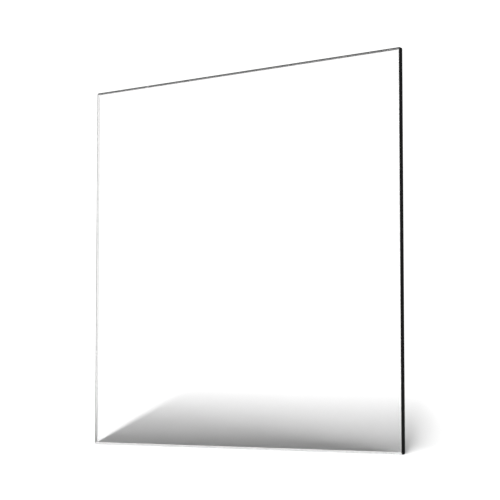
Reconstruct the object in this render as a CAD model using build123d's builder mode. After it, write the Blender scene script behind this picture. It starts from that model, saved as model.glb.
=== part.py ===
"""Clear cast acrylic sheet, 400 x 400 x 6 mm, masked on both faces.

Units are millimetres. X runs along the width, +Y from the front face to the rear face, and +Z
up. The origin is the middle of the lower edge, which is where the sheet stands.

The sheet is one solid piece. A thin polyethylene masking film lies on each large face, on its
own coat of adhesive, and peels off separately.
"""

import os

from build123d import *

# Driving dimensions
SHEET_SIDE = 400.0  # width and height, cut square
SHEET_THICKNESS = 6.0  # stock thickness of the sheet
CORNER_RADIUS = 2.0  # the four corners are just eased
EDGE_CHAMFER = 1.5  # 45 degree chamfer round both faces
FILM_THICKNESS = 0.1  # one masking film
ADHESIVE_THICKNESS = 0.02  # coat that holds a film to its face

# Worked out from them
HALF_THICKNESS = SHEET_THICKNESS / 2
MID_HEIGHT = SHEET_SIDE / 2
FACE_SIDE = SHEET_SIDE - 2 * EDGE_CHAMFER  # flat part of each large face
FACE_CORNER_RADIUS = CORNER_RADIUS - EDGE_CHAMFER
FILM_OFFSET = HALF_THICKNESS + ADHESIVE_THICKNESS  # from the middle plane to a film's bonded side

# Planes through the middle of the thickness: each looks out of one large face
FRONT = Plane(origin=(0, 0, MID_HEIGHT), x_dir=(1, 0, 0), z_dir=(0, -1, 0))
REAR = Plane(origin=(0, 0, MID_HEIGHT), x_dir=(-1, 0, 0), z_dir=(0, 1, 0))

os.makedirs("parts", exist_ok=True)


# The square of clear acrylic, chamfered round both of its large faces
with BuildPart() as acrylic_sheet:
    with BuildSketch(FRONT):
        RectangleRounded(SHEET_SIDE, SHEET_SIDE, CORNER_RADIUS)
    extrude(amount=HALF_THICKNESS, both=True)
    large_faces = acrylic_sheet.faces().filter_by(Axis.Y)
    chamfer(large_faces.edges(), length=EDGE_CHAMFER)

acrylic_sheet.part.label = "acrylic_sheet"
export_step(acrylic_sheet.part, "parts/acrylic_sheet.step")


def masking_film(middle_plane):
    """A film on the large face that middle_plane looks out of, trimmed to the flat of it."""
    with BuildPart() as film:
        with BuildSketch(middle_plane.offset(FILM_OFFSET)):
            RectangleRounded(FACE_SIDE, FACE_SIDE, FACE_CORNER_RADIUS)
        extrude(amount=FILM_THICKNESS)
    return film


for name, middle_plane in {"front_masking_film": FRONT, "rear_masking_film": REAR}.items():
    film = masking_film(middle_plane)
    film.part.label = name
    export_step(film.part, f"parts/{name}.step")
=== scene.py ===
"""A clear acrylic sheet with a masking film on each face, standing in a white studio.

Units are metres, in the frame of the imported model: X along the width, +Y from the front face to
the rear face, +Z up, with the origin in the middle of the edge that the sheet stands on.
"""

import math

import bmesh
import bpy
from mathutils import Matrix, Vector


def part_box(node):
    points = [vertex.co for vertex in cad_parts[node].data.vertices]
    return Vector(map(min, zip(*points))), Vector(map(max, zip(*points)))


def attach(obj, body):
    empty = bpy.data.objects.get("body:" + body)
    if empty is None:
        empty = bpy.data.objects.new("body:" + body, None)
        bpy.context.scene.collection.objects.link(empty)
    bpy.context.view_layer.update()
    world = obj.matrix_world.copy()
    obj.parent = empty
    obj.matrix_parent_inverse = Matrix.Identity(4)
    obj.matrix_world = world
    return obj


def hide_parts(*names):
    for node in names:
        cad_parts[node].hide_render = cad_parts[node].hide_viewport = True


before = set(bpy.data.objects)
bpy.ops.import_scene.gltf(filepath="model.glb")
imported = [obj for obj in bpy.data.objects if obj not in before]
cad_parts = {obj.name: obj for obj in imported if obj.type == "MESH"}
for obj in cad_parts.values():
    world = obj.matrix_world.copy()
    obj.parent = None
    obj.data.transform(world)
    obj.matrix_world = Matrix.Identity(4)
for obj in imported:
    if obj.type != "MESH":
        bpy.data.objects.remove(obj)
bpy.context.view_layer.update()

# The sheet, read from the frame
SHEET_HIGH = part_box("acrylic_sheet")[1]
HALF_WIDTH = SHEET_HIGH[0]
HEIGHT = SHEET_HIGH[2]
CHAMFER = HALF_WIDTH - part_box("front_masking_film")[1][0]

# Camera
CAMERA_AZIMUTH = 36.483  # degrees round from straight in front, towards +X
CAMERA_DISTANCE = 1.5365
EYE_HEIGHT = 0.0722
VIEW_YAW = 36.025
VIEW_PITCH = 3.734
LENS_MM = 104.91
LENS_SHIFT = 0.07

# Studio: brightness is 1 where the picture clips to white
BACKDROP = 1.13  # what the camera sees round the floor and through the sheet
FLOOR_HALF_SIDE = 60.0
FLOOR_ALBEDO = 0.8
AMBIENT = 0.258  # share of the floor's brightness that comes from all round
ROOM_REFLECTED = 0.12  # what a glossy surface mirrors
FLOOR_REFLECTED = 0.08  # the floor's albedo as a glossy surface mirrors it
KEY_SHARE = 0.80
KEY_LAMPS = 28
KEY_DIRECTION = 38.1  # degrees, as the camera's azimuth
KEY_HEIGHT = (0.43, 1.659)  # lowest and highest lamp
KEY_REACH = (2.282, 0.648)  # of the same two, out from KEY_FOOT
KEY_FOOT = -0.008  # past the sheet's left edge, along X
KEY_TAPER = 0.65  # how much weaker the highest key lamp is than the lowest
KEY_RADIUS = 0.02
FILL_SHARE = 0.175
FILL_DIRECTION = 53.2  # degrees, seen from the origin
FILL_REACH = 0.765
FILL_HEIGHT = 0.334
FILL_RADIUS = 0.10

# Acrylic
ACRYLIC_IOR = 1.49
MASK_BLUR = 0.00005
FLAW_RANGE = (0.3, 0.7)  # the part of a noise's values that is spread over a flaw's own range
# Each edge's shade is painted shade: near black on the right, dark grey on top and light on the
# left and bottom, as light falls on a clear sheet's edges. The bottom's width runs past the
# chamfer onto the faces as a painted light band.
EDGE_FINISH_AND_PAINTED_SHADE = (  # bottom, left, top, right: painted shade, clarity, roughness, width in from the edge
    (0.50, 0.35, 0.35, 0.0024),
    (0.95, 0.80, 0.30, 0.0015),
    (0.02, 0.05, 0.30, 0.0015),
    (0.002, 0.0, 0.06, 0.0015),
)
SAW_MARKS_PER_M = 900.0
SAW_SLANT = 0.3
SAW_CONTRAST = 0.15
SAW_ROUGHNESS = (0.7, 1.2)
SAW_DEPTH = 0.00002
SMEARS_PER_M = 14.0
SMEAR_RANGE = (0.55, 0.75)
SMEAR_ROUGHNESS = 0.04
WAVES_PER_M = 12.0
WAVE_HEIGHT = 0.00005

# Masking film
FILM_IOR = 1.51
FILM_CELLS = 100
FILM_CORNER_RADIUS = 0.0005
RIPPLE_DEPTH = 0.00003
FILM_RIPPLES = ((0.047, 0.2, 0.0), (0.031, 1.3, 1.9), (0.019, 2.4, 4.1), (0.014, 0.9, 2.6))
FILM_HAZE = (0.003, 0.007)
HAZE_RANGE = (0.0, 0.6)
FILM_SHEEN = 0.03
SHEEN_BLEND = 0.2
FILM_SHADES = (0.78, 0.9)
FILM_ROUGHNESS = (0.15, 0.3)
STREAKS_PER_M = 160.0
STREAK_RANGE = (0.35, 0.75)
CLOUDS_PER_M = 9.0
RIM_WIDTH = 0.0004  # the film's real cut edge, drawn as a grey line of painted shade
RIM_ALPHA = 0.3
# The grey of the film's cut edge is painted shade
RIM_PAINTED_SHADE = 0.3


def node(tree, kind, **values):
    made = tree.nodes.new(kind)
    for name, value in values.items():
        setattr(made, name, value)
    return made


def link_object(made):
    bpy.context.scene.collection.objects.link(made)
    return made


# Camera, world, floor and lamps


def make_camera():
    data = bpy.data.cameras.new("camera")
    data.lens = LENS_MM
    data.shift_y = LENS_SHIFT
    data.clip_end = 200.0
    camera = link_object(bpy.data.objects.new("camera", data))
    azimuth = math.radians(CAMERA_AZIMUTH)
    camera.location = (
        CAMERA_DISTANCE * math.sin(azimuth),
        -CAMERA_DISTANCE * math.cos(azimuth),
        EYE_HEIGHT,
    )
    camera.rotation_euler = (math.radians(90 + VIEW_PITCH), 0, math.radians(VIEW_YAW))
    bpy.context.scene.camera = camera


def make_world():
    world = bpy.data.worlds.new("studio")
    world.use_nodes = True
    bpy.context.scene.world = world
    tree = world.node_tree
    tree.nodes.clear()
    out = node(tree, "ShaderNodeOutputWorld")
    path = node(tree, "ShaderNodeLightPath")
    fresh = node(tree, "ShaderNodeMath", operation="LESS_THAN")
    tree.links.new(path.outputs["Diffuse Depth"], fresh.inputs[0])
    fresh.inputs[1].default_value = 0.5
    through = node(tree, "ShaderNodeMath", operation="MULTIPLY")
    tree.links.new(path.outputs["Is Transmission Ray"], through.inputs[0])
    tree.links.new(fresh.outputs[0], through.inputs[1])
    seen = node(tree, "ShaderNodeMath", operation="MAXIMUM")
    tree.links.new(path.outputs["Is Camera Ray"], seen.inputs[0])
    tree.links.new(through.outputs[0], seen.inputs[1])
    light = node(tree, "ShaderNodeMix", data_type="FLOAT")
    tree.links.new(path.outputs["Is Glossy Ray"], light.inputs["Factor"])
    light.inputs["A"].default_value = AMBIENT / FLOOR_ALBEDO
    light.inputs["B"].default_value = ROOM_REFLECTED
    strength = node(tree, "ShaderNodeMix", data_type="FLOAT")
    tree.links.new(seen.outputs[0], strength.inputs["Factor"])
    tree.links.new(light.outputs["Result"], strength.inputs["A"])
    strength.inputs["B"].default_value = BACKDROP
    background = node(tree, "ShaderNodeBackground")
    background.inputs["Color"].default_value = (1, 1, 1, 1)
    tree.links.new(strength.outputs["Result"], background.inputs["Strength"])
    tree.links.new(background.outputs[0], out.inputs["Surface"])


def make_floor():
    """A pale floor, which is darker where a glossy surface mirrors it."""
    mesh = bpy.data.meshes.new("floor")
    half = FLOOR_HALF_SIDE
    corners = [(-half, -half, 0), (half, -half, 0), (half, half, 0), (-half, half, 0)]
    mesh.from_pydata(corners, [], [(0, 1, 2, 3)])
    material, tree, shader = new_principled("floor")
    # A ray through the sheet is both glossy and transmitted, and sees the floor as it is
    path = node(tree, "ShaderNodeLightPath")
    through = path.outputs["Is Transmission Ray"]
    mirrored = maths(tree, "SUBTRACT", path.outputs["Is Glossy Ray"], through)
    shade = blend(tree, mirrored, FLOOR_ALBEDO, FLOOR_REFLECTED)
    tree.links.new(shade, shader.inputs["Base Color"])
    shader.inputs["Roughness"].default_value = 1.0
    shader.inputs["Specular IOR Level"].default_value = 0.0
    mesh.materials.append(material)
    link_object(bpy.data.objects.new("floor", mesh))


def make_lamp(name, location, share, radius):
    """A lamp that lights the whole floor evenly, so that only its shadow shows where it is."""
    data = bpy.data.lights.new(name, "POINT")
    data.energy = 4 * math.pi**2 * share / (FLOOR_ALBEDO * location[2])
    data.shadow_soft_size = radius
    data.use_nodes = True
    tree = data.node_tree
    falloff = node(tree, "ShaderNodeLightFalloff")
    falloff.inputs["Strength"].default_value = 1.0
    path = node(tree, "ShaderNodeLightPath")
    evened = node(tree, "ShaderNodeMath", operation="MULTIPLY")
    tree.links.new(falloff.outputs["Constant"], evened.inputs[0])
    tree.links.new(path.outputs["Ray Length"], evened.inputs[1])
    tree.links.new(evened.outputs[0], tree.nodes["Emission"].inputs["Strength"])
    lamp = link_object(bpy.data.objects.new(name, data))
    lamp.location = location
    lamp.visible_camera = False
    lamp.visible_transmission = False
    lamp.visible_glossy = False


def make_lamps():
    direction = math.radians(KEY_DIRECTION)
    weights = [1 - KEY_TAPER * i / (KEY_LAMPS - 1) for i in range(KEY_LAMPS)]
    for i, weight in enumerate(weights):
        t = i / (KEY_LAMPS - 1)
        height = KEY_HEIGHT[0] * (KEY_HEIGHT[1] / KEY_HEIGHT[0]) ** t
        reach = KEY_REACH[0] + (KEY_REACH[1] - KEY_REACH[0]) * t
        x = KEY_FOOT - HALF_WIDTH + reach * math.sin(direction)
        y = -reach * math.cos(direction)
        make_lamp(f"key_{i}", (x, y, height), KEY_SHARE * weight / sum(weights), KEY_RADIUS)
    direction = math.radians(FILL_DIRECTION)
    x = FILL_REACH * math.sin(direction)
    y = -FILL_REACH * math.cos(direction)
    make_lamp("fill", (x, y, FILL_HEIGHT), FILL_SHARE, FILL_RADIUS)


# Materials


def maths(tree, operation, a, b=0.0, c=0.0):
    """A Math node's result. An input is a number or another node's output."""
    made = node(tree, "ShaderNodeMath", operation=operation)
    for socket, value in zip(made.inputs, (a, b, c)):
        if isinstance(value, (int, float)):
            socket.default_value = value
        else:
            tree.links.new(value, socket)
    return made.outputs[0]


def ramp(tree, value, low, high, to_low=0.0, to_high=1.0):
    made = node(tree, "ShaderNodeMapRange")
    tree.links.new(value, made.inputs["Value"])
    made.inputs["From Min"].default_value = low
    made.inputs["From Max"].default_value = high
    made.inputs["To Min"].default_value = to_low
    made.inputs["To Max"].default_value = to_high
    return made.outputs["Result"]


def blend(tree, factor, a, b):
    made = node(tree, "ShaderNodeMix", data_type="FLOAT")
    for name, value in (("Factor", factor), ("A", a), ("B", b)):
        if isinstance(value, float):
            made.inputs[name].default_value = value
        else:
            tree.links.new(value, made.inputs[name])
    return made.outputs["Result"]


def noise(tree, position, scale, detail=2.0, dimensions="3D"):
    made = node(tree, "ShaderNodeTexNoise", noise_dimensions=dimensions)
    tree.links.new(position, made.inputs["W" if dimensions == "1D" else "Vector"])
    made.inputs["Scale"].default_value = scale
    made.inputs["Detail"].default_value = detail
    return made.outputs["Fac"]


def bump(tree, height, distance, after=None):
    made = node(tree, "ShaderNodeBump")
    tree.links.new(height, made.inputs["Height"])
    made.inputs["Strength"].default_value = 1.0
    made.inputs["Distance"].default_value = distance
    if after is not None:
        tree.links.new(after, made.inputs["Normal"])
    return made.outputs["Normal"]


def position_in(tree):
    """The object coordinates, whole and as X, Y and Z."""
    position = node(tree, "ShaderNodeTexCoord").outputs["Object"]
    parts = node(tree, "ShaderNodeSeparateXYZ")
    tree.links.new(position, parts.inputs[0])
    return position, *parts.outputs


def new_principled(name):
    material = bpy.data.materials.new(name)
    material.use_nodes = True
    return material, material.node_tree, material.node_tree.nodes["Principled BSDF"]


def acrylic_material():
    """Clear faces, and four edges that each have a roughness, a clarity and a painted shade (dark
    on the top and right, light on the left and bottom, as light falls), with fine marks across
    them.
    """
    material, tree, shader = new_principled("clear_acrylic")
    position, x, y, z = position_in(tree)

    inward = (
        z,
        maths(tree, "ADD", x, HALF_WIDTH),
        maths(tree, "SUBTRACT", HEIGHT, z),
        maths(tree, "SUBTRACT", HALF_WIDTH, x),
    )
    masks = []
    # Each edge's painted shade, clarity and roughness are blended in over its width
    shade, clarity, sawn = 1.0, 1.0, 0.0
    for depth, (edge_painted_shade, edge_clarity, edge_roughness, width) in zip(inward, EDGE_FINISH_AND_PAINTED_SHADE):
        mask = ramp(tree, depth, width - MASK_BLUR, width + MASK_BLUR, 1.0, 0.0)
        masks.append(mask)
        shade = blend(tree, mask, shade, edge_painted_shade)
        clarity = blend(tree, mask, clarity, edge_clarity)
        sawn = blend(tree, mask, sawn, edge_roughness)
    bottom, left, top, right = masks
    upright = maths(tree, "MAXIMUM", left, right)
    edge = maths(tree, "MAXIMUM", upright, maths(tree, "MAXIMUM", top, bottom))

    # The marks vary along the edge and slant a little across it
    along = maths(tree, "ADD", maths(tree, "MULTIPLY", z, upright), x)
    slanted = maths(tree, "MULTIPLY_ADD", y, SAW_SLANT, along)
    marks = noise(tree, slanted, SAW_MARKS_PER_M, 3.0, "1D")
    uneven = ramp(tree, marks, *FLAW_RANGE, 1 - SAW_CONTRAST, 1 + SAW_CONTRAST)
    uneven_edge = maths(tree, "MULTIPLY_ADD", maths(tree, "SUBTRACT", uneven, 1.0), edge, 1.0)
    # Base colour: the edges' painted shade, varied by the saw marks
    grey = node(tree, "ShaderNodeCombineColor")
    for socket in grey.inputs:
        tree.links.new(maths(tree, "MULTIPLY", shade, uneven_edge), socket)

    # The polished faces have a slight cast waviness and faint wipe marks
    wiped = noise(tree, position, SMEARS_PER_M, 4.0)
    smears = ramp(tree, wiped, *SMEAR_RANGE, 0.0, SMEAR_ROUGHNESS)
    marked = maths(tree, "MULTIPLY", sawn, ramp(tree, marks, *FLAW_RANGE, *SAW_ROUGHNESS))
    rough = blend(tree, edge, smears, marked)
    waves = bump(tree, noise(tree, position, WAVES_PER_M, 1.0), WAVE_HEIGHT)
    sawn_height = maths(tree, "MULTIPLY", marks, edge)

    tree.links.new(grey.outputs[0], shader.inputs["Base Color"])
    tree.links.new(rough, shader.inputs["Roughness"])
    tree.links.new(clarity, shader.inputs["Transmission Weight"])
    tree.links.new(bump(tree, sawn_height, SAW_DEPTH, waves), shader.inputs["Normal"])
    shader.inputs["IOR"].default_value = ACRYLIC_IOR
    return material


def film_material():
    """Clear, slightly streaky film whose cut edge is drawn as a faint grey line of painted shade.
    """
    material, tree, shader = new_principled("masking_film")
    position, x, y, z = position_in(tree)
    from_middle = maths(tree, "ABSOLUTE", maths(tree, "SUBTRACT", z, HEIGHT / 2))
    reach = maths(tree, "MAXIMUM", maths(tree, "ABSOLUTE", x), from_middle)
    half = HALF_WIDTH - CHAMFER
    rim = ramp(tree, reach, half - RIM_WIDTH - MASK_BLUR, half - RIM_WIDTH)

    # Draw lines run up the film, as it came off the roll
    streaks = noise(tree, x, STREAKS_PER_M, 3.0, "1D")
    clouds = noise(tree, position, CLOUDS_PER_M, 2.0)
    haze = maths(tree, "MULTIPLY", ramp(tree, streaks, *STREAK_RANGE), clouds)
    seen = ramp(tree, haze, *HAZE_RANGE, *FILM_HAZE)
    glancing = node(tree, "ShaderNodeLayerWeight")
    glancing.inputs["Blend"].default_value = SHEEN_BLEND
    sheen = maths(tree, "MULTIPLY_ADD", glancing.outputs["Facing"], FILM_SHEEN, seen)
    alpha = blend(tree, rim, sheen, RIM_ALPHA)
    tree.links.new(alpha, shader.inputs["Alpha"])
    # The streaks' own tone, with the cut edge's painted shade
    shade = blend(tree, rim, ramp(tree, streaks, *FLAW_RANGE, *FILM_SHADES), RIM_PAINTED_SHADE)
    grey = node(tree, "ShaderNodeCombineColor")
    for socket in grey.inputs:
        tree.links.new(shade, socket)
    tree.links.new(grey.outputs[0], shader.inputs["Base Color"])
    rough = ramp(tree, streaks, *FLAW_RANGE, *FILM_ROUGHNESS)
    tree.links.new(rough, shader.inputs["Roughness"])
    shader.inputs["IOR"].default_value = FILM_IOR
    return material


# The films


def film_relief(x, z):
    """How deep the film's outer side dips at a point, from 0 to 1: long ripples and short ones."""
    total = 0.0
    for wavelength, lean, start in FILM_RIPPLES:
        distance = x * math.cos(lean) + z * math.sin(lean)
        total += math.sin(2 * math.pi * distance / wavelength + start)
    return 0.5 + 0.5 * total / len(FILM_RIPPLES)


def make_film(node_name, body, outward, material):
    """A closed film: flat where it sticks to its face, and faintly rippled on its outer side."""
    low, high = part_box(node_name)
    bonded, outer = (low[1], high[1]) if outward > 0 else (high[1], low[1])
    corner_inset = FILM_CORNER_RADIUS * (1 - math.sqrt(0.5))
    made = bmesh.new()
    sides = []
    for rippled in (False, True):
        grid = []
        for i in range(FILM_CELLS + 1):
            row = []
            for j in range(FILM_CELLS + 1):
                x = low[0] + (high[0] - low[0]) * i / FILM_CELLS
                z = low[2] + (high[2] - low[2]) * j / FILM_CELLS
                if i in (0, FILM_CELLS) and j in (0, FILM_CELLS):
                    x -= math.copysign(corner_inset, x)
                    z -= math.copysign(corner_inset, z - HEIGHT / 2)
                dip = RIPPLE_DEPTH * film_relief(x, z) if rippled else 0.0
                y = outer - outward * dip if rippled else bonded
                row.append(made.verts.new((x, y, z)))
            grid.append(row)
        sides.append(grid)
    for grid in sides:
        for i in range(FILM_CELLS):
            for j in range(FILM_CELLS):
                corners = (grid[i][j], grid[i + 1][j], grid[i + 1][j + 1], grid[i][j + 1])
                made.faces.new(corners).smooth = True
    last = FILM_CELLS
    rim = [(i, 0) for i in range(last)] + [(last, j) for j in range(last)]
    rim += [(i, last) for i in range(last, 0, -1)] + [(0, j) for j in range(last, 0, -1)]
    for (i, j), (next_i, next_j) in zip(rim, rim[1:] + rim[:1]):
        inner, top = sides
        corners = (inner[i][j], inner[next_i][next_j], top[next_i][next_j], top[i][j])
        strip = made.faces.new(corners)
        strip.smooth = False
        for edge in strip.edges:
            edge.smooth = False
    bmesh.ops.recalc_face_normals(made, faces=made.faces)
    name = f"{body}_skin"
    mesh = bpy.data.meshes.new(name)
    made.to_mesh(mesh)
    made.free()
    mesh.materials.append(material)
    film = link_object(bpy.data.objects.new(name, mesh))
    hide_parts(node_name)
    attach(film, body)


make_camera()
make_world()
make_floor()
make_lamps()
bpy.context.scene.view_settings.view_transform = "Standard"

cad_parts["acrylic_sheet"].material_slots[0].material = acrylic_material()
film_look = film_material()
make_film("front_masking_film", "front_film", -1, film_look)
make_film("rear_masking_film", "rear_film", 1, film_look)
